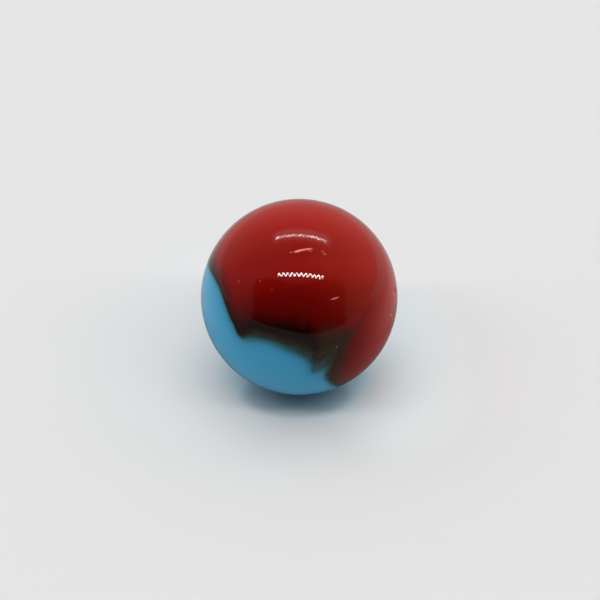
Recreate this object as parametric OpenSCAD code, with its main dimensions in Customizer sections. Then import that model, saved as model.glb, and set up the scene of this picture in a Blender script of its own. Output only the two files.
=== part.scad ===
// A machine-made glass marble with a red patch folded over pale blue glass.
// The origin is the ball's centre and +Z is up. -Y is the side with the fold.
// Directions are given as [azimuth, latitude] in degrees: azimuth turns from +X
// towards +Y, and latitude rises from the level ring round the ball's middle.

/* [Ball] */
// Diameter of the marble
ball_d = 16; // [12:0.5:25]

/* [Red patch] */
// Width of the dark margin of the upper lap at its broadest, where the red thins out over the blue
upper_margin_w = 4.2; // [1:0.2:5]
// Width of the dark margin of the side lap, the one under the fold
side_margin_w = 0.8; // [0.3:0.1:1.2]

/* [Wear] */
// Width across each of the two small round pits
pit_w = 0.3; // [0.15:0.05:0.6]
// Depth of each small round pit
pit_depth = 0.06; // [0.02:0.01:0.12]
// Length of the chip on the right side
chip_l = 0.75; // [0.4:0.05:1.5]
// Width of the chip
chip_w = 0.4; // [0.2:0.05:0.6]
// Depth of the chip
chip_depth = 0.08; // [0.02:0.01:0.15]

/* [Hidden] */

ball_r = ball_d / 2;
blue_glass = [0.27, 0.58, 0.70];
red_glass = [0.62, 0.13, 0.10];
dark_glass = [0.15, 0.11, 0.09];
chip_brown = [0.40, 0.24, 0.18];

// Lower edge of the upper lap of red, once round the ball with the azimuth. The third number
// is the share of the margin's broadest width there: least along the fold, most at the front spike
upper_edge = [
    [-174, 26.5, 0.15], [-163, 28.5, 0.16], [-150, 27.5, 0.17], [-140, 21.5, 0.18],
    [-135, 17.5, 0.19], [-131, 13, 0.21], [-127, 7, 0.28], [-123, 6.5, 0.32], [-117, 9, 0.37],
    [-112, 10.5, 0.40], [-105, 10, 0.43], [-98, 7, 0.48], [-91, 3, 0.56], [-86, -1, 0.68],
    [-83.5, -6, 0.85], [-82, -11, 1.00], [-79, -5.5, 0.82], [-72, 3, 0.52], [-68, 6, 0.40],
    [-59, 13, 0.21], [-54, 17, 0.15], [-44, 22, 0.06], [-38, 24.5, 0.04], [-28, 29, 0.04],
    [-16, 32, 0.04], [-5, 33, 0.05], [20, 30, 0.08], [40, 25, 0.12], [56, 19, 0.17],
    [70, 20, 0.19], [86, 27, 0.17], [102, 28, 0.17], [120, 23, 0.19], [140, 17, 0.21],
    [158, 19, 0.17], [175, 24, 0.15]
];
// The upper lap is spread about the top of the ball
upper_middle = [0, 90];

// Edge of the side lap: its tip at the front, round below, up the back and under the upper lap
side_edge = [
    [-67, 8, 1.0], [-70, 1, 1.0], [-74, -10, 1.0], [-75, -16, 1.0], [-73, -22, 1.0],
    [-69, -30, 0.9], [-61, -38, 0.8], [-48, -47, 0.7], [-30, -53, 0.6], [-8, -51, 0.6],
    [14, -43, 0.8], [31, -31, 1.0], [42, -16, 1.0], [48, 0, 1.0], [51, 14, 1.0], [46, 32, 1.0],
    [30, 43, 1.0], [5, 48, 1.0], [-15, 46, 1.0], [-37, 36, 1.0], [-46, 31, 1.0], [-55, 25, 1.0],
    [-62, 17, 1.0]
];
side_middle = [-12, -2];

// Where the wear sits
pit_places = [[-139, 37], [-122, 43]];
chip_place = [-8, 12];

// Steps from one point of an edge to the next, on a smooth curve through them
edge_steps = 3;
$fn = 128;

function on_ball(place) = [
    cos(place[1]) * cos(place[0]),
    cos(place[1]) * sin(place[0]),
    sin(place[1])
];
function unit(v) = v / norm(v);
// A direction turned away from the middle of its lap by an angle, or towards it if that is negative
function turned(dir, middle, angle) =
    let (away = unit(dir * (dir * middle) - middle))
    dir * cos(angle) + away * sin(angle);
function arc_angle(w) = w / ball_r * 180 / PI;
// Radius of the ball that presses a round dent of a given width and depth
function dent_r(w, depth) = (w * w / 4 + depth * depth) / (2 * depth);

// Stands what it holds on the surface of the ball, with its own +Z outwards
module at(place) {
    rotate([0, 90 - place[1], place[0]]) translate([0, 0, ball_r]) children();
}

module ball() {
    sphere(r = ball_r);
}

// A smooth closed curve through rows of numbers, by the Catmull-Rom rule
function curve(rows) =
    let (count = len(rows))
    [
        for (i = [0 : count - 1], step = [0 : edge_steps - 1])
            let (
                before = rows[(i - 1 + count) % count],
                here = rows[i],
                next = rows[(i + 1) % count],
                after = rows[(i + 2) % count],
                t = step / edge_steps
            )
            here + (next - before) * t / 2
                + (before * 2 - here * 5 + next * 4 - after) * t * t / 2
                + (here * 3 - before - next * 3 + after) * t * t * t / 2
    ];

// The part of space seen from the centre through an edge on the ball, drawn in by its margin.
// It ends a whole diameter out, clear of the ball
module within(edge, middle, margin = 0) {
    axis = on_ball(middle);
    smooth = curve([for (place = edge) concat(on_ball(place), place[2])]);
    rim = [
        for (row = smooth)
            turned(unit([row[0], row[1], row[2]]), axis, -arc_angle(margin * row[3]))
    ];
    count = len(rim);
    polyhedron(
        points = concat([[0, 0, 0], axis * ball_d], [for (dir = rim) dir * ball_d]),
        faces = [
            for (i = [0 : count - 1]) [0, 2 + i, 2 + (i + 1) % count],
            for (i = [0 : count - 1]) [1, 2 + (i + 1) % count, 2 + i]
        ]
    );
}

// Both laps of the red glass with their dark margins
module laps() {
    within(upper_edge, upper_middle);
    within(side_edge, side_middle);
}

// The laps without their margins, where the red is thick enough to show its colour
module thick_laps() {
    within(upper_edge, upper_middle, upper_margin_w);
    within(side_edge, side_middle, side_margin_w);
}

module base_glass() {
    color(blue_glass) difference() {
        ball();
        laps();
    }
}

module thin_red() {
    color(dark_glass) difference() {
        intersection() {
            ball();
            laps();
        }
        thick_laps();
    }
}

module thick_red() {
    color(red_glass) intersection() {
        ball();
        thick_laps();
    }
}

// A round pit, pressed by a small ball
module pit() {
    r = dent_r(pit_w, pit_depth);
    translate([0, 0, r - pit_depth]) sphere(r = r);
}

// A chip longer than it is wide: a run of like dents, one above the other on the ball
module chip() {
    r = dent_r(chip_w, chip_depth);
    turn = arc_angle((chip_l - chip_w) / 2);
    for (step = [-1, 0, 1])
        at(chip_place + [0, step * turn]) translate([0, 0, r - chip_depth]) sphere(r = r);
}

module wear() {
    for (place = pit_places) at(place) pit();
    chip();
}

module marble() {
    difference() {
        union() {
            base_glass();
            thin_red();
            thick_red();
        }
        color(chip_brown) wear();
    }
}

marble();
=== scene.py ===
"""Looks of a machine-made glass marble: a red patch of glass folded over a pale blue ball.

The ball is one mesh, worked out with numpy and worn as the real one is. Each of its points knows
how far it lies inside the edges of the patch's two laps. The glass turns that into the thickness
of the red film there, and the thickness into colour. A direction or place on the ball is
[azimuth, latitude] in degrees. Lengths are millimetres until a mesh or the camera is made, which
is in metres.
"""

import math

import bpy
import numpy as np
from mathutils import Matrix, Vector


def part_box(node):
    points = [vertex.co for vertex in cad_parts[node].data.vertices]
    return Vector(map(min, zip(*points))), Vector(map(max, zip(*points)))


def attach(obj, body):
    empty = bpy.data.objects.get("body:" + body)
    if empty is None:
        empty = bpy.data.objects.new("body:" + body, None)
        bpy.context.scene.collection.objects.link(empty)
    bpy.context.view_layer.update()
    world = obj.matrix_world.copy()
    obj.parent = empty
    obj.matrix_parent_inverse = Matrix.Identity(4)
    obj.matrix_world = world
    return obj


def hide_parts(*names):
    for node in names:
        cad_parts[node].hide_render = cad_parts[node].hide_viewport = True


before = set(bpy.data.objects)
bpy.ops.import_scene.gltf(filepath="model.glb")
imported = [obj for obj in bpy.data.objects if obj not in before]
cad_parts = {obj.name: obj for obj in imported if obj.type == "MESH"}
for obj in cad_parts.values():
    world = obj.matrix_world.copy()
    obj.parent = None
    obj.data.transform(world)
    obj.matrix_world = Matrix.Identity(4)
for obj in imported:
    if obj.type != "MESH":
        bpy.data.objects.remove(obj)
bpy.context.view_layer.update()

MM = 0.001

ball_low, ball_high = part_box("marble")
BALL_R = (ball_high[2] - ball_low[2]) / 2 / MM
FLOOR_Z = ball_low[2]

# The ball's mesh: quads along one side of each of the six faces of the cube that it is blown from
QUADS = 128
# The surface isn't quite true: height of its ripples, the slanted directions that they run along,
# and how far each gets through its waves over the ball's radius, in radians
RIPPLE = 0.0035
RIPPLE_WAVES = (((0.62, 0.48, 0.62), 7.0), ((-0.70, 0.22, 0.68), 9.0), ((0.25, -0.86, 0.44), 11.0))

# Wear on the ball: place, length, width, depth, turn of its length from level, and bend
PITS = (
    ((-139.4, 37.2), 0.34, 0.34, 0.05, 0, 0),
    ((-122.4, 43.2), 0.26, 0.26, 0.025, 0, 0),
)
CHIP = ((-8.4, 11.7), 0.75, 0.30, 0.08, 90, 0)
FLAKE = ((-85.0, 65.9), 1.45, 0.30, 0.02, 5, -0.08)
STREAK = ((-64.6, 34.6), 0.68, 0.17, 0.01, 0, 0)
# Share by which the mesh's points are drawn towards each, and over how many degrees
GATHERED = (0.5, 6)
FLAKE_GATHERED = (0.4, 9)

# Lower edge of the upper lap of red, once round the ball with the azimuth
UPPER_EDGE = (
    (-178, 23.5), (-167, 26), (-153, 25.5), (-142, 20), (-137, 16), (-132.5, 12), (-128, 7),
    (-123, 6), (-117, 8.7), (-112, 10), (-105, 9.7), (-98, 7), (-91, 3), (-86, -1), (-83.5, -6),
    (-82, -11), (-79, -5.5), (-71, 2.5), (-66.5, 5.5), (-57, 12), (-51.5, 15.5), (-42, 21),
    (-36.5, 23.5), (-28, 28.5), (-16, 32), (-5, 33), (20, 30), (40, 25), (56, 19), (70, 20),
    (86, 27), (102, 28), (120, 23), (140, 17), (158, 18), (170, 21),
)
UPPER_MIDDLE = (0, 90)
# Edge of the side lap: its tip at the front, round below, up the back and under the upper lap
SIDE_EDGE = (
    (-67, 8), (-69.5, 1), (-72.5, -10), (-72.5, -17), (-70, -23), (-66, -30.5), (-58, -38),
    (-47, -46), (-30, -53), (-8, -51), (14, -43), (31, -31), (42, -16), (48, 0), (51, 14),
    (46, 32), (30, 43), (5, 48), (-15, 46), (-37, 36), (-46, 31), (-55, 25), (-62, 17),
)
SIDE_MIDDLE = (-12, -2)
# Steps from one point of an edge to the next
EDGE_STEPS = 6

# How the red film ends, by bearing round the middle of its lap: the distance inward over which it
# gains one layer's thickness, its thickness just inside the edge, and that of the haze outside it.
# At a thickness of 1 the film is opaque, and thicker film is a brighter red
UPPER_RIM = (
    (-174, 1.35, 0.74, 0.16), (-163, 1.30, 0.78, 0.18), (-150, 1.25, 0.82, 0.20),
    (-139, 1.00, 0.80, 0.20), (-132, 1.10, 0.74, 0.18), (-129, 1.05, 0.54, 0.17),
    (-127, 1.10, 0.34, 0.17), (-124, 1.40, 0.17, 0.17), (-121, 1.65, 0.15, 0.17),
    (-117, 1.75, 0.20, 0.21), (-112, 1.80, 0.27, 0.24), (-105, 2.00, 0.30, 0.25),
    (-95, 2.50, 0.25, 0.23), (-88, 2.70, 0.25, 0.20), (-84, 3.00, 0.23, 0.20),
    (-81, 2.90, 0.28, 0.18), (-77, 2.70, 0.36, 0.12), (-70, 1.90, 0.44, 0.12),
    (-66, 1.10, 0.48, 0.10), (-61, 0.60, 0.58, 0.10), (-56, 0.35, 1.00, 0.10),
    (-51, 0.30, 1.40, 0.10), (-45, 0.30, 1.50, 0.10), (-38, 0.30, 1.90, 0.10),
    (-28, 0.30, 2.30, 0.10), (0, 0.30, 2.30, 0.10), (30, 1.40, 1.60, 0.10),
    (56, 2.20, 0.40, 0.22), (102, 2.20, 0.30, 0.24), (140, 2.00, 0.45, 0.20),
)
SIDE_RIM = (
    (-180, 1.20, 0.50, 0.40), (-72, 1.00, 0.54, 0.42), (-52, 0.60, 0.60, 0.30),
    (-25, 0.50, 0.90, 0.20), (60, 1.20, 0.60, 0.20), (120, 1.20, 0.40, 0.30),
)


def directions(places):
    """Unit vectors of rows of [azimuth, latitude]."""
    azimuth, latitude = np.radians(np.asarray(places, float)[..., :2]).T
    level = np.cos(latitude)
    return np.stack([level * np.cos(azimuth), level * np.sin(azimuth), np.sin(latitude)], -1)


def smooth_loop(rows, steps):
    """Closed curve through rows by the Catmull-Rom rule.

    Between two rows it is a cubic of t from 0 to 1 whose slope at each end is half the step from
    the row before to the row after."""
    rows = np.asarray(rows, float)
    before, after, last = (np.roll(rows, shift, 0) for shift in (1, -1, -2))
    t = (np.arange(steps) / steps)[None, :, None]
    before, here, after, last = (block[:, None] for block in (before, rows, after, last))
    curve = (
        here
        + (after - before) * t / 2
        + (before * 2 - here * 5 + after * 4 - last) * t**2 / 2
        + (here * 3 - before - after * 3 + last) * t**3 / 2
    )
    return curve.reshape(-1, rows.shape[1])


def bearing_and_reach(points, middle):
    """Bearing round a middle direction and angle away from it, both in degrees.

    Round the top of the ball the bearing is the azimuth."""
    azimuth, latitude = np.radians(middle)
    outward = directions(middle)
    down = np.array([
        math.sin(latitude) * math.cos(azimuth),
        math.sin(latitude) * math.sin(azimuth),
        -math.cos(latitude),
    ])
    bearing = np.degrees(np.arctan2(points @ np.cross(outward, down), points @ down))
    return bearing, np.degrees(np.arccos(np.clip(points @ outward, -1, 1)))


def edge_distance(points, edge, middle):
    """Distance in mm along the ball from each point to a closed edge, positive inside it.

    It is the least distance to the edge's short straight steps, turned from a chord into an arc.
    A point is inside where it lies nearer the middle than the edge does at the same bearing."""
    loop = smooth_loop(directions(edge), EDGE_STEPS)
    loop /= np.linalg.norm(loop, axis=1, keepdims=True)
    least = np.full(len(points), np.inf)
    for start, end in zip(loop, np.roll(loop, -1, 0)):
        step = end - start
        away = points - start
        share = np.clip(away @ step / (step @ step), 0, 1)
        least = np.minimum(least, ((away - share[:, None] * step) ** 2).sum(1))
    arc = 2 * np.arcsin(np.sqrt(least) / 2) * BALL_R
    edge_bearing, edge_reach = bearing_and_reach(loop, middle)
    bearing, reach = bearing_and_reach(points, middle)
    inside = reach < np.interp(bearing, edge_bearing, edge_reach, period=360)
    return np.where(inside, arc, -arc)


def rim_values(points, rim, middle):
    """The three values of a rim table at each point, by its bearing round the middle."""
    table = np.asarray(rim, float)
    bearing = bearing_and_reach(points, middle)[0]
    return [np.interp(bearing, table[:, 0], column, period=360) for column in table[:, 1:].T]


def local_axes(place, turn=0.0):
    """Outward, lengthwise and crosswise unit vectors at a place; a turn lifts the length."""
    azimuth = math.radians(place[0])
    outward = directions(place)
    level = np.array([-math.sin(azimuth), math.cos(azimuth), 0.0])
    rise = np.cross(outward, level)
    turn = math.radians(turn)
    along = level * math.cos(turn) + rise * math.sin(turn)
    return outward, along, np.cross(outward, along)


def cube_ball(count):
    """Directions of the ball's points, and its quads.

    On each face of a cube the two parameters u and v run from -45 to 45 degrees, and a direction
    is the unit vector along face normal + tan(u) first side + tan(v) second side. Points that two
    faces share are one point."""
    angle = np.tan(np.linspace(-math.pi / 4, math.pi / 4, count + 1))
    u, v = np.meshgrid(angle, angle, indexing="ij")
    faces = []
    for axis in range(3):
        for sign in (1, -1):
            normal = np.eye(3)[axis] * sign
            first = np.eye(3)[(axis + 1) % 3]
            faces.append(normal + u[..., None] * first + v[..., None] * np.cross(normal, first))
    points = np.array(faces)
    points /= np.linalg.norm(points, axis=-1, keepdims=True)
    points = points.reshape(-1, 3)
    _, first_seen, index = np.unique(
        np.round(points, 6), axis=0, return_index=True, return_inverse=True
    )
    grid = index.reshape(6, count + 1, count + 1)
    corners = (grid[:, :-1, :-1], grid[:, 1:, :-1], grid[:, 1:, 1:], grid[:, :-1, 1:])
    return points[first_seen], np.stack(corners, -1).reshape(-1, 4)


def gathered(points, place, share, reach):
    """Points drawn towards a place, so that small wear there has enough of them.

    The angle to the place shrinks by a share that falls off as a bell curve of that angle."""
    centre = directions(place)
    cosine = np.clip(points @ centre, -1, 1)
    angle = np.arccos(cosine)
    new = angle * (1 - share * np.exp(-((angle / math.radians(reach)) ** 2)))
    side = points - cosine[:, None] * centre
    side /= np.maximum(np.linalg.norm(side, axis=1, keepdims=True), 1e-9)
    return centre * np.cos(new)[:, None] + side * np.sin(new)[:, None]


def dent(points, place, length, width, depth, turn, bend):
    """Depth in mm of an oval dent at each point: a paraboloid that ends at the oval's rim."""
    outward, along, across = local_axes(place, turn)
    u = points @ along * BALL_R / (length / 2)
    v = (points @ across * BALL_R - bend * u**2) / (width / 2)
    near = points @ outward > 0
    return np.where(near, depth * np.clip(1 - u**2 - v**2, 0, 1), 0)


def ripples(points):
    """Height in mm of slow ripples: the mean of sine waves along a few slanted directions."""
    waves = [np.sin(points @ np.array(slant) * turns + turns) for slant, turns in RIPPLE_WAVES]
    return RIPPLE * sum(waves) / len(waves)


def make_marble():
    """The ball, whose points carry the distances and rim values of both laps as attributes.

    A point lies along its direction at the ball's radius, raised by the ripples, whose crests
    touch the true ball, and lowered by the depth of each dent."""
    points, quads = cube_ball(QUADS)
    for place, *_ in PITS + (CHIP, STREAK):
        points = gathered(points, place, *GATHERED)
    points = gathered(points, FLAKE[0], *FLAKE_GATHERED)
    radius = BALL_R - RIPPLE + ripples(points)
    for wear in PITS + (CHIP, FLAKE, STREAK):
        radius = radius - dent(points, *wear)
    mesh = bpy.data.meshes.new("marble_ball")
    mesh.from_pydata((points * radius[:, None] * MM).tolist(), [], quads.tolist())
    mesh.polygons.foreach_set("use_smooth", np.ones(len(quads), bool))
    laps = {
        "upper": (UPPER_EDGE, UPPER_MIDDLE, UPPER_RIM),
        "side": (SIDE_EDGE, SIDE_MIDDLE, SIDE_RIM),
    }
    for lap, (edge, middle, rim) in laps.items():
        values = [edge_distance(points, edge, middle), *rim_values(points, rim, middle)]
        for name, numbers in zip(("inside", "gain", "lip", "haze"), values):
            attribute = mesh.attributes.new(f"{lap}_{name}", "FLOAT", "POINT")
            attribute.data.foreach_set("value", numbers.astype(np.float32))
    mesh.update()
    ball = bpy.data.objects.new("marble_ball", mesh)
    bpy.context.scene.collection.objects.link(ball)
    return ball


class Graph:
    """Adds nodes to one node tree. What is given to a socket is a number, a colour or a socket."""

    def __init__(self, tree):
        tree.nodes.clear()
        self.tree = tree

    def node(self, kind, given=None, **settings):
        """A node with its settings and with values or links for its sockets."""
        node = self.tree.nodes.new(kind)
        for name, setting in settings.items():
            setattr(node, name, setting)
        for name, value in (given or {}).items():
            if isinstance(value, bpy.types.NodeSocket):
                self.tree.links.new(value, node.inputs[name])
            else:
                node.inputs[name].default_value = value
        return node

    def place(self):
        """The object's own coordinates in mm."""
        place = self.node("ShaderNodeTexCoord").outputs["Object"]
        return self.vector("MULTIPLY", place, (1 / MM, 1 / MM, 1 / MM))

    def maths(self, operation, *given):
        return self.node("ShaderNodeMath", dict(enumerate(given)), operation=operation).outputs[0]

    def product(self, first, *others):
        for other in others:
            first = self.maths("MULTIPLY", first, other)
        return first

    def vector(self, operation, *given):
        node = self.node("ShaderNodeVectorMath", dict(enumerate(given)), operation=operation)
        return node.outputs["Value" if operation in ("DOT_PRODUCT", "LENGTH") else "Vector"]

    def flat(self, x, y):
        return self.node("ShaderNodeCombineXYZ", {0: x, 1: y}).outputs[0]

    def parts(self, vector):
        return self.node("ShaderNodeSeparateXYZ", {0: vector}).outputs[:]

    def fade(self, value, start, end, low=0.0, high=1.0, smooth=True):
        """low at start and high at end, and in between along a smooth step or a straight line."""
        given = {0: value, 1: start, 2: end, 3: low, 4: high}
        kind = "SMOOTHSTEP" if smooth else "LINEAR"
        return self.node("ShaderNodeMapRange", given, interpolation_type=kind).outputs[0]

    def fade_out(self, value, start, end):
        return self.fade(value, start, end, 1.0, 0.0)

    def band(self, value, middle, half, soft):
        """1 within half of the middle and 0 beyond it, with soft edges."""
        off = self.maths("ABSOLUTE", self.maths("SUBTRACT", value, middle))
        return self.fade_out(off, half - soft, half + soft)

    def between(self, share, first, second):
        """A number that goes from the first to the second with the share."""
        given = {0: share, 2: first, 3: second}
        return self.node("ShaderNodeMix", given, data_type="FLOAT").outputs[0]

    def mix(self, share, first, second, blend="MIX"):
        """A colour that goes from the first to its blend with the second with the share."""
        given = {0: share, 6: first, 7: second}
        return self.node("ShaderNodeMix", given, data_type="RGBA", blend_type=blend).outputs[2]

    def times(self, colour, other):
        return self.mix(1.0, colour, other, "MULTIPLY")

    def noise(self, place, scale, detail, rough=0.5, bend=0.0):
        """Noise from 0 to 1, with its lumps a mm, octaves, roughness and distortion."""
        given = {"Scale": scale, "Detail": detail, "Roughness": rough, "Distortion": bend}
        return self.node("ShaderNodeTexNoise", {"Vector": place, **given}).outputs["Fac"]

    def uneven(self, noise, middle, swing):
        """Noise turned into a number that swings about a middle."""
        return self.maths("MULTIPLY_ADD", noise, 2 * swing, middle - swing)

    def ramp(self, value, stops):
        """A colour ramp; each stop is a place from 0 to 1 and the colour there."""
        node = self.node("ShaderNodeValToRGB", {0: value})
        bar = node.color_ramp.elements
        bar[0].position, bar[1].position = stops[0][0], stops[-1][0]
        for place, _ in stops[1:-1]:
            bar.new(place)
        for stop, (_, colour) in zip(bar, stops):
            stop.color = (*colour, 1.0)
        return node.outputs["Color"]


# The red film. Distance inward over which an edge comes to its thickness just inside, and
# distance outward over which the haze thins out
EDGE_RISE = 0.27
HAZE_REACH = 0.4
# Past a thickness of 1 the film gains another layer over this distance at most
RED_RISE = 1.15
# The edges waver to each side by this much, and the thickness is uneven by this share
WAVER = 0.06
WAVER_NOISE = (1.6, 4)
CLOUD = 0.1
CLOUD_NOISE = (0.9, 5, 0.55, 0.4)
# Swirls of thicker and thinner film along the margins: how much, how the noise is stretched, and
# the thicknesses between which they come and go
SWIRL = 0.22
SWIRL_NOISE = (1.1, 4, 0.6, 1.2)
SWIRL_STRETCH = (0.5, 0.5, 1.6)
SWIRL_COMES = (0.15, 0.4)
SWIRL_GOES = (0.9, 2.0)

# Colour of the glass by the film's thickness, up to a thickness of 1: bare blue, teal, brown, black
THIN_COLOURS = (
    (0.00, (0.042, 0.295, 0.505)), (0.10, (0.036, 0.215, 0.345)), (0.20, (0.026, 0.125, 0.170)),
    (0.30, (0.020, 0.075, 0.080)), (0.38, (0.018, 0.050, 0.042)), (0.48, (0.016, 0.022, 0.018)),
    (0.58, (0.016, 0.010, 0.008)), (0.70, (0.010, 0.003, 0.002)), (0.85, (0.003, 0.000, 0.000)),
    (1.00, (0.000, 0.000, 0.000)),
)
# A pair of numbers below is a range over which something fades: of the film's thickness, of a
# distance, or, for what lies round a place on the ball, of the cosine of the angle from it.
# Painted light: the blue is painted paler towards the sides and the bottom, away from this place,
# where the pale floor lights it, and only where hardly any film lies over it
FRONT = (-84, 43)
FRONT_FADE = (0.1, 0.85)
PAINTED_LIT_BLUE = (0.075, 0.390, 0.635, 1.0)
PAINTED_LIT_GOES = (0.0, 0.3)
# Red of thick film, from its darkest place, low on the front, at 0, to the side opposite it, at 1:
# partly the glass's own red and partly painted shade, darker where less light falls
DARKEST_SHADED = (-98, -6)
RED_COLOURS = (
    (0.080, (0.115, 0.001, 0.000)), (0.140, (0.161, 0.001, 0.000)), (0.180, (0.207, 0.002, 0.001)),
    (0.260, (0.298, 0.003, 0.001)), (0.340, (0.345, 0.004, 0.001)), (0.420, (0.395, 0.006, 0.001)),
    (0.540, (0.500, 0.008, 0.001)), (0.620, (0.545, 0.012, 0.002)),
)
RED_COMES = (0.6, 2.4)
# It turns to orange round this place
ORANGE = (5, 25)
ORANGE_COMES = (0.25, 0.85)
ORANGE_ADDED = (0.000, 0.006, 0.002, 1.0)
# Painted light: a paler band of red is painted level across the front, by the front lamps'
# highlight: its middle, how far it fades out to each side of its middle line and towards its ends,
# and how much paler it is
PAINTED_GLOW_BAND = (-80, 52)
PAINTED_GLOW_SIDES = (0.51, 1.7)
PAINTED_GLOW_ENDS = (0.6, 0.8)
PAINTED_GLOW_SHARE = 0.15
# Distance outward from the upper lap over which the side lap looks darker, and how dark it gets
FOLD_SHADE = 3.4
FOLD_DARKEST = 0.76
# A brown cast over thin film on the right half of the ball, by thickness and by share of +X
BROWN_ADDED = (0.018, 0.010, 0.004, 1.0)
BROWN_COMES = (0.3, 0.6)
BROWN_GOES = (1.0, 2.2)
BROWN_RIGHT = (0.12, 0.28)

# Small marks on the surface: place, length, width, turn of its length from level, colour and share
BRUISE_AND_SHADE = (0.250, 0.000, 0.000)
SALMON = (0.950, 0.300, 0.200)
DULL_SALMON = (0.560, 0.090, 0.060)
DULL_PINK = (0.520, 0.150, 0.120)
PIT_RED = (0.090, 0.001, 0.001)
CHIP_BROWN = (0.150, 0.045, 0.030)
GREY = (0.120, 0.130, 0.120)
MARKS = (
    # Partly a bruise round the flake and partly painted shade, the darker band between the two
    # lamps' highlights
    ((-88.9, 65.6), 2.40, 1.90, 0, BRUISE_AND_SHADE, 0.7),
    ((-92.3, 65.1), 0.70, 0.24, 14, SALMON, 0.9),
    ((-85.0, 66.0), 0.95, 0.19, 4, SALMON, 0.9),
    ((-76.8, 66.2), 0.75, 0.18, -6, SALMON, 0.8),
    ((-75.4, 64.9), 0.46, 0.17, -20, DULL_SALMON, 0.8),
    ((-100.7, 64.1), 0.30, 0.22, 0, DULL_SALMON, 0.8),
    ((-59.8, 62.5), 0.34, 0.26, 0, DULL_SALMON, 0.6),
    ((-58.8, 60.6), 0.40, 0.24, -40, DULL_SALMON, 0.7),
    ((-64.6, 34.6), 0.86, 0.18, 0, DULL_PINK, 1.0),
    ((-139.4, 36.4), 0.55, 0.46, 0, BRUISE_AND_SHADE, 0.5),
    ((-139.4, 37.3), 0.26, 0.22, 0, DULL_SALMON, 0.5),
    ((-122.8, 43.0), 0.50, 0.46, 0, PIT_RED, 0.6),
    ((-122.3, 43.4), 0.18, 0.16, 0, DULL_SALMON, 0.5),
    ((-110.7, 40.5), 0.22, 0.18, 0, DULL_SALMON, 0.3),
    ((-8.4, 11.9), 0.95, 0.44, 90, CHIP_BROWN, 1.0),
    ((-13.2, 12.4), 0.60, 0.26, 80, DULL_SALMON, 0.8),
    ((-21.4, 3.2), 0.34, 0.26, 0, SALMON, 0.5),
    ((-18.6, -1.5), 0.28, 0.22, 0, SALMON, 0.4),
    ((-67.9, 5.6), 0.20, 0.16, 50, GREY, 0.8),
)
# The same for a grey film over the blue sliver between the two laps, with a tint for its colour
SLIVER = ((-74.6, -2.6), 4.30, 1.45, 58, (0.920, 0.210, 0.120), 0.93)
# A mark fades in from the first to the second of these shares of its half size. Through the
# surface its half size is this
MARK_EDGE = (1.15, 0.35)
MARK_REACH = 0.3

# Roughness of the smoothest and the most handled glass, and where the noise tells them apart
SMOOTHNESS = (0.02, 0.06)
HANDLED_NOISE = (0.35, 4, 0.6)
HANDLED = (0.35, 0.75)
# What fine scuffs add to it, where the glass is handled
SCUFFS = 0.10
SCUFF_NOISE = (1.0, 3, 0.6)
SCUFF_STRETCH = (9.0, 2.0, 14.0)
SCUFF_COMES = (0.66, 0.74)
SCUFFED = (0.45, 0.6)
# Depth of the faint unevenness of the fire-polished skin
PEEL = 0.0025
PEEL_NOISE = (2.4, 3)
GLASS_IOR = 1.52


def marked(g, place, colour, where, length, width, turn, paint, share, blend="MIX"):
    """The colour with one small oval mark on it, which is strongest at its middle."""
    outward, along, across = local_axes(where, turn)
    given = {
        "Vector": place,
        "Location": tuple(outward * BALL_R),
        "Rotation": Matrix((along, across, outward)).transposed().to_euler(),
        "Scale": (length / 2, width / 2, MARK_REACH),
    }
    oval = g.node("ShaderNodeMapping", given, vector_type="TEXTURE").outputs[0]
    strength = g.fade(g.vector("LENGTH", oval), *MARK_EDGE, 0.0, share)
    return g.mix(strength, colour, (*paint, 1.0), blend)


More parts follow.
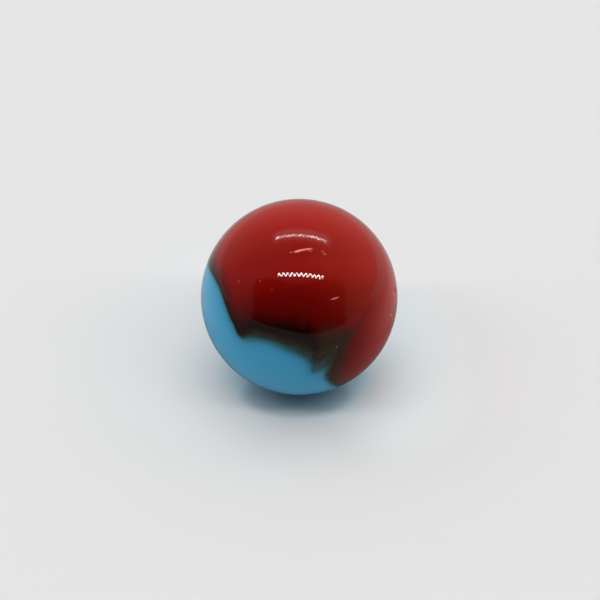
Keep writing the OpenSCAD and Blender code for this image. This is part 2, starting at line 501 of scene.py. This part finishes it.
def marble_glass():
    """Glass whose colour follows the thickness of the red film over the blue, with painted light
    and shade in it.
    """
    material = bpy.data.materials.new("marble_glass")
    material.use_nodes = True
    g = Graph(material.node_tree)
    place = g.place()
    outward = g.vector("NORMALIZE", place)
    waver = g.uneven(g.noise(place, *WAVER_NOISE), 0.0, WAVER)

    def value_of(name):
        return g.node("ShaderNodeAttribute", attribute_name=name).outputs["Fac"]

    def towards(where):
        """Cosine of the angle from a place on the ball."""
        return g.vector("DOT_PRODUCT", outward, tuple(directions(where)))

    def lap(name, under):
        """Thickness of a lap of film, which covers what lies under it inside its edge."""
        depth = g.maths("ADD", value_of(f"{name}_inside"), waver)
        gain = value_of(f"{name}_gain")
        grown = g.maths("DIVIDE", g.maths("MAXIMUM", depth, 0.0), gain)
        grown = g.maths("ADD", grown, value_of(f"{name}_lip"))
        quicker = g.maths("MAXIMUM", g.maths("MULTIPLY_ADD", gain, 1 / RED_RISE, -1.0), 0.0)
        beyond = g.maths("MAXIMUM", g.maths("SUBTRACT", grown, 1.0), 0.0)
        grown = g.maths("MULTIPLY_ADD", beyond, quicker, grown)
        haze = g.maths("EXPONENT", g.maths("DIVIDE", g.maths("MINIMUM", depth, 0.0), HAZE_REACH))
        haze = g.maths("MULTIPLY_ADD", haze, value_of(f"{name}_haze"), under)
        return g.between(g.fade(depth, 0.0, EDGE_RISE), haze, grown)

    film = lap("upper", lap("side", 0.0))
    film = g.product(film, g.uneven(g.noise(place, *CLOUD_NOISE), 1.0, CLOUD))
    swirl = g.noise(g.vector("MULTIPLY", place, SWIRL_STRETCH), *SWIRL_NOISE)
    margin = g.product(g.fade(film, *SWIRL_COMES), g.fade_out(film, *SWIRL_GOES))
    film = g.maths("MULTIPLY_ADD", g.uneven(swirl, 0.0, SWIRL), margin, film)

    thin = g.ramp(film, THIN_COLOURS)
    # Painted light: paler blue towards the sides and the bottom, where the floor lights it
    pale = g.product(g.fade_out(film, *PAINTED_LIT_GOES), g.fade_out(towards(FRONT), *FRONT_FADE))
    thin = g.mix(pale, thin, PAINTED_LIT_BLUE)
    thin = marked(g, place, thin, *SLIVER, blend="MULTIPLY")

    # Partly painted shade: the red is darker towards the front and the underside
    full = g.ramp(g.maths("MULTIPLY_ADD", towards(DARKEST_SHADED), -0.5, 0.5), RED_COLOURS)
    full = g.mix(g.fade(towards(ORANGE), *ORANGE_COMES), full, ORANGE_ADDED, "ADD")
    full = g.times(full, g.fade(film, *RED_COMES))
    # Painted light: the paler band by the front lamps' highlight
    off_line = g.vector("DOT_PRODUCT", place, tuple(local_axes(PAINTED_GLOW_BAND)[2]))
    paler = g.fade(g.maths("ABSOLUTE", off_line), *PAINTED_GLOW_SIDES, PAINTED_GLOW_SHARE, 0.0)
    paler = g.product(paler, g.fade(towards(PAINTED_GLOW_BAND), *PAINTED_GLOW_ENDS))
    full = g.times(full, g.maths("ADD", paler, 1.0))
    shade = g.fade(value_of("upper_inside"), -FOLD_SHADE, 0.0, 1.0, FOLD_DARKEST)
    full = g.times(full, shade)

    brown = g.product(
        g.fade(film, *BROWN_COMES),
        g.fade_out(film, *BROWN_GOES),
        g.fade(g.parts(outward)[0], *BROWN_RIGHT),
    )
    colour = g.mix(brown, g.mix(1.0, thin, full, "ADD"), BROWN_ADDED, "ADD")
    for mark in MARKS:
        colour = marked(g, place, colour, *mark)

    handled = g.noise(place, *HANDLED_NOISE)
    scuffs = g.noise(g.vector("MULTIPLY", place, SCUFF_STRETCH), *SCUFF_NOISE)
    scuffs = g.product(g.fade(scuffs, *SCUFF_COMES), g.fade(handled, *SCUFFED))
    rough = g.fade(handled, *HANDLED, *SMOOTHNESS)
    rough = g.maths("MULTIPLY_ADD", scuffs, SCUFFS, rough)
    skin = g.noise(place, *PEEL_NOISE)
    skin = g.node("ShaderNodeBump", {"Height": skin, "Strength": 1.0, "Distance": PEEL * MM})
    shader = g.node("ShaderNodeBsdfPrincipled", {
        "Base Color": colour,
        "Roughness": rough,
        "IOR": GLASS_IOR,
        "Normal": skin.outputs[0],
    })
    g.node("ShaderNodeOutputMaterial", {"Surface": shader.outputs[0]})
    return material


# The surroundings: a pale box, open and dark at the front, with two rows of lamps along its top.
# A lamp's place is a slope, how far it lies along X and along Y for each step up. A row has a
# middle, a half_length and a half_width. The light that it throws has its own strength, light, and
# half length, spread. Gloss shows it as a faint bar, glow, with a zigzag thread of beads in it:
# bead is how bright it is, beads the length of one zig and zag, sway how far it swings to each
# side, thread half its width, grain how fine its unevenness is, and dull its dullest brightness
FRONT_LAMPS = {
    "middle": (0.045, -0.486), "half_length": 0.54, "half_width": 0.050,
    "light": 10.6, "spread": 1.4, "glow": 0.6,
    "bead": 38.0, "beads": 0.100, "sway": 0.046, "thread": 0.015, "grain": 26.0, "dull": 0.5,
}
REAR_LAMPS = {
    "middle": (0.045, 0.470), "half_length": 0.475, "half_width": 0.038,
    "light": 2.8, "spread": 1.2, "glow": 3.0,
    "bead": 10.0, "beads": 0.070, "sway": 0.028, "thread": 0.018, "grain": 16.0, "dull": 0.0,
}
# How far the rows are turned from level with X, the soft edge of a lamp, and of the thread's ends
LAMP_YAW = -0.061
LAMP_SOFT = 0.006
THREAD_END_SOFT = 0.01
# The noise along the thread, from dull to this bright
BEAD_DETAIL = 2
BEAD_NOISE = (0.38, 0.60)
BRIGHTEST_BEAD = 1.4
# Lamps show only in directions that rise by more than this. Slopes are worked out for a rise of
# at least the second number
LAMPS_ABOVE = 0.2
LEAST_RISE = 0.001
# The bright patch of ceiling round the rear lamps: middle, half length, half width and soft edge
REAR_PATCH = ((0.06, 0.52), 0.55, 0.17, 0.08)
REAR_GLOW = 0.45
# The open front: half its width, the height of its top, and how far its top droops sideways,
# which is a sum of shares of powers of the distance from its middle
OPENING_HALF = 0.815
OPENING_SOFT = 0.02
OPENING_TOP = (0.785, 0.825)
OPENING_DROOP = ((4.0, 0.62), (16.0, 1.2))
# Light from the walls and from the open front
FILL = 0.78
OPENING = 0.14
# How bright gloss shows the front wall, the rear wall and the open front
FRONT_WALL = 0.11
REAR_WALL = 0.33
OPENING_IN_GLOSS = 0.025
# Tint of the light from the walls and from the lamps, by brightness
COOL = (0.965, 1.000, 1.035, 1.0)
WARM = (1.035, 1.000, 0.970, 1.0)
WARM_COMES = (1.0, 3.0)
# Tint of the lamps themselves as gloss shows them, by brightness
WHITE = (1.0, 1.0, 1.0, 1.0)
LAMP_PINK = (1.000, 0.880, 0.840, 1.0)
PINK_COMES = (0.6, 3.0)
BACKDROP = (0.76, 0.76, 0.76, 1.0)


def make_surroundings():
    """The light that the pale box throws, and its looks in gloss and as a backdrop."""
    world = bpy.data.worlds.new("pale_box")
    bpy.context.scene.world = world
    world.use_nodes = True
    g = Graph(world.node_tree)
    x, y, z = g.parts(g.node("ShaderNodeTexCoord").outputs["Generated"])
    up = g.maths("MAXIMUM", z, LEAST_RISE)
    slope_x = g.maths("DIVIDE", x, up)
    slope_y = g.maths("MULTIPLY_ADD", slope_x, -LAMP_YAW, g.maths("DIVIDE", y, up))
    slopes = g.flat(slope_x, slope_y)
    above = g.maths("GREATER_THAN", z, LAMPS_ABOVE)

    def patch(middle, half_length, half_width, soft):
        along = g.band(slope_x, middle[0], half_length, soft)
        across = g.band(slope_y, middle[1], half_width, soft)
        return g.product(along, across, above)

    def bright_thread(row):
        """A row's beads of light, which sway from side to side along it."""
        along = g.band(slope_x, row["middle"][0], row["half_length"], THREAD_END_SOFT)
        turn = g.maths("PINGPONG", slope_x, row["beads"] / 2)
        sway = g.maths("MULTIPLY_ADD", turn, 4 * row["sway"] / row["beads"], -row["sway"])
        across = g.maths("SUBTRACT", slope_y, sway)
        across = g.band(across, row["middle"][1], row["thread"], LAMP_SOFT)
        beads = g.noise(slopes, row["grain"], BEAD_DETAIL)
        beads = g.fade(beads, *BEAD_NOISE, row["dull"], BRIGHTEST_BEAD)
        return g.product(along, across, above, beads)

    droop = z
    for power, share in OPENING_DROOP:
        lower = g.maths("POWER", g.maths("ABSOLUTE", x), power)
        droop = g.maths("MULTIPLY_ADD", lower, share, droop)
    opening = g.product(
        g.band(x, 0.0, OPENING_HALF, OPENING_SOFT),
        g.fade_out(droop, *OPENING_TOP),
        g.fade_out(y, -OPENING_SOFT, OPENING_SOFT),
    )
    falls = g.fade(opening, 0.0, 1.0, FILL, OPENING, smooth=False)
    rearward = g.maths("POWER", g.maths("MULTIPLY_ADD", y, 0.5, 0.5), 2.0)
    walls = g.fade(rearward, 0.0, 1.0, FRONT_WALL, REAR_WALL, smooth=False)
    mirrored = g.between(opening, walls, OPENING_IN_GLOSS)
    for row in (FRONT_LAMPS, REAR_LAMPS):
        thrown = patch(row["middle"], row["spread"], row["half_width"], LAMP_SOFT)
        falls = g.maths("MULTIPLY_ADD", thrown, row["light"], falls)
        bar = patch(row["middle"], row["half_length"], row["half_width"], LAMP_SOFT)
        mirrored = g.maths("MULTIPLY_ADD", bar, row["glow"], mirrored)
        mirrored = g.maths("MULTIPLY_ADD", bright_thread(row), row["bead"], mirrored)
    mirrored = g.maths("MULTIPLY_ADD", patch(*REAR_PATCH), REAR_GLOW, mirrored)

    falls = g.times(falls, g.mix(g.fade(falls, *WARM_COMES), COOL, WARM))
    mirrored = g.times(mirrored, g.mix(g.fade(mirrored, *PINK_COMES), WHITE, LAMP_PINK))
    ray = g.node("ShaderNodeLightPath").outputs
    light = g.mix(ray["Is Glossy Ray"], falls, mirrored)
    light = g.mix(ray["Is Camera Ray"], light, BACKDROP)
    sky = g.node("ShaderNodeBackground", {"Color": light, "Strength": 1.0})
    g.node("ShaderNodeOutputWorld", {"Surface": sky.outputs[0]})


# The floor: half its side, its colour, and the painted shade right under the ball, tinted blue as
# by light that has come through the glass, which fades out between these distances from the ball's
# lowest point
FLOOR_HALF = 1200.0
FLOOR_COLOUR = (0.757, 0.752, 0.746, 1.0)
PAINTED_BLUE_SHADE = (0.50, 0.70, 0.77, 1.0)
PAINTED_BLUE_SHADE_GOES = (3.0, 7.5)
# The darker oval in front of the ball's lowest point: its middle and half its width along X and Y.
# Each shade is a range of shares of that half width, and how dark it is at each end
SHADE_MIDDLE = (-0.2, -2.9)
SHADE_HALF = (4.7, 3.0)
SHADES = ((0.74, 1.10, 0.69, 0.99), (0.95, 2.6, 0.94, 1.01))
# Painted light: how much paler the floor is painted beside the ball, on its left and on its right,
# the distances between which that comes and goes, and the ranges of the share sideways for beside
# and for left to right
LEFT_PAINTED_LIGHT = (0.05, 0.05, 0.04, 1.0)
RIGHT_PAINTED_LIGHT = (0.08, 0.17, 0.18, 1.0)
PAINTED_LIGHT_COMES = (4.0, 6.0)
PAINTED_LIGHT_GOES = (9.0, 17.0)
BESIDE = (0.25, 0.8)
LEFT_TO_RIGHT = (-0.3, 0.6)
# Share of the floor's light that gloss shows, in front of the ball and behind it, and where along
# Y it goes from one to the other
FLOOR_FRONT = 0.21
FLOOR_REAR = 0.50
FRONT_TO_REAR = (-17.0, 30.0)
# What is added to that share in a ring round the ball, except in front of it
FLOOR_NEAR = 0.15
NEAR_COMES = (13.0, 18.0)
NEAR_GOES = (28.0, 45.0)
NEAR_BEHIND = (-12.0, 4.0)
# Where the pale floor ends before the open front, as gloss shows it: level with this line on the
# right, and slanting away from it on the left. The end fades out sideways between two slopes
FLOOR_END = -95.0
FLOOR_END_SOFT = 25.0
FLOOR_CORNER = 27.0
FLOOR_SLANT = 2.3
END_SIDES = (1.2, 1.6)
END_DARKENS = 0.9


def floor_share(g, x, y, reach):
    """Share of the floor's light that gloss shows."""
    share = g.fade(y, *FRONT_TO_REAR, FLOOR_FRONT, FLOOR_REAR)
    left = g.maths("MAXIMUM", g.maths("MULTIPLY_ADD", x, -1.0, FLOOR_CORNER), 0.0)
    ahead = g.maths("MULTIPLY_ADD", left, FLOOR_SLANT, y)
    ahead = g.fade_out(ahead, FLOOR_END - FLOOR_END_SOFT, FLOOR_END + FLOOR_END_SOFT)
    forward = g.maths("MAXIMUM", g.maths("MULTIPLY", y, -1.0), 1.0)
    sideways = g.maths("DIVIDE", g.maths("ABSOLUTE", x), forward)
    ahead = g.product(ahead, g.fade_out(sideways, *END_SIDES))
    share = g.product(share, g.maths("MULTIPLY_ADD", ahead, -END_DARKENS, 1.0))
    close = g.product(g.fade(reach, *NEAR_GOES, FLOOR_NEAR, 0.0), g.fade(reach, *NEAR_COMES))
    return g.maths("MULTIPLY_ADD", close, g.fade(y, *NEAR_BEHIND), share)


def floor_tint(g, x, y, reach):
    """Colour of the floor, with painted soft shades, painted blue shade under the ball and painted
    light.
    """
    # Painted shade under the ball, tinted blue
    tint = g.mix(g.fade(reach, *PAINTED_BLUE_SHADE_GOES), PAINTED_BLUE_SHADE, FLOOR_COLOUR)
    across, along = (
        g.maths("MULTIPLY_ADD", value, 1 / half, -middle / half)
        for value, half, middle in zip((x, y), SHADE_HALF, SHADE_MIDDLE)
    )
    oval = g.vector("LENGTH", g.flat(across, along))
    for shade in SHADES:
        tint = g.times(tint, g.fade(oval, *shade))
    # Painted light: the floor is painted paler beside the ball, more on its right
    side = g.maths("DIVIDE", x, reach)
    painted_light_share = g.product(
        g.fade(g.maths("ABSOLUTE", side), *BESIDE),
        g.fade(reach, *PAINTED_LIGHT_COMES),
        g.fade_out(reach, *PAINTED_LIGHT_GOES),
    )
    painted_light_tint = g.mix(g.fade(side, *LEFT_TO_RIGHT), LEFT_PAINTED_LIGHT, RIGHT_PAINTED_LIGHT)
    return g.mix(painted_light_share, tint, g.times(tint, g.mix(1.0, painted_light_tint, WHITE, "ADD")))


def make_floor():
    """A pale matt floor, clear from below, which gloss shows less brightly than the camera does."""
    half = FLOOR_HALF * MM
    corners = [(x * half, y * half, FLOOR_Z) for x, y in ((-1, -1), (1, -1), (1, 1), (-1, 1))]
    mesh = bpy.data.meshes.new("floor")
    mesh.from_pydata(corners, [], [(0, 1, 2, 3)])
    floor = bpy.data.objects.new("floor", mesh)
    bpy.context.scene.collection.objects.link(floor)
    material = bpy.data.materials.new("pale_floor")
    material.use_nodes = True
    g = Graph(material.node_tree)
    x, y, _ = g.parts(g.place())
    reach = g.vector("LENGTH", g.flat(x, y))
    mirrored = g.times(FLOOR_COLOUR, floor_share(g, x, y, reach))
    glossy = g.node("ShaderNodeLightPath").outputs["Is Glossy Ray"]
    colour = g.mix(glossy, floor_tint(g, x, y, reach), mirrored)
    matt = g.node("ShaderNodeBsdfDiffuse", {"Color": colour}).outputs[0]
    clear = g.node("ShaderNodeBsdfTransparent").outputs[0]
    below = g.node("ShaderNodeNewGeometry").outputs["Backfacing"]
    both = g.node("ShaderNodeMixShader", {0: below, 1: matt, 2: clear}).outputs[0]
    g.node("ShaderNodeOutputMaterial", {"Surface": both})
    mesh.materials.append(material)


# Camera of the photo, which looks along +Y and down on the ball
CAMERA_ELEVATION = 38.25
CAMERA_DISTANCE = 250.0
CAMERA_LENS = 184.2
SENSOR_WIDTH = 36
# The nearest and the farthest that it sees
CAMERA_SEES = (10.0, 5000.0)
# Where it points, right of and above the ball's centre as it sees them
AIM_RIGHT = 0.065
AIM_UP = -0.245


def make_camera():
    """The camera, which looks back along a line that rises from the ball at its elevation."""
    camera = bpy.data.objects.new("camera", bpy.data.cameras.new("camera"))
    bpy.context.scene.collection.objects.link(camera)
    camera.data.sensor_width = SENSOR_WIDTH
    camera.data.lens = CAMERA_LENS
    camera.data.clip_start, camera.data.clip_end = (distance * MM for distance in CAMERA_SEES)
    elevation = math.radians(CAMERA_ELEVATION)
    back = Vector((0, -math.cos(elevation), math.sin(elevation)))
    right = Vector((1, 0, 0))
    above = back.cross(right)
    aim = (right * AIM_RIGHT + above * AIM_UP) * MM
    camera.location = back * CAMERA_DISTANCE * MM + aim
    camera.rotation_mode = "QUATERNION"
    camera.rotation_quaternion = (-back).to_track_quat("-Z", "Y")
    bpy.context.scene.camera = camera


bpy.context.scene.view_settings.view_transform = "Standard"
make_camera()
make_surroundings()
make_floor()
marble = make_marble()
marble.data.materials.append(marble_glass())
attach(marble, "root")
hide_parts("marble")
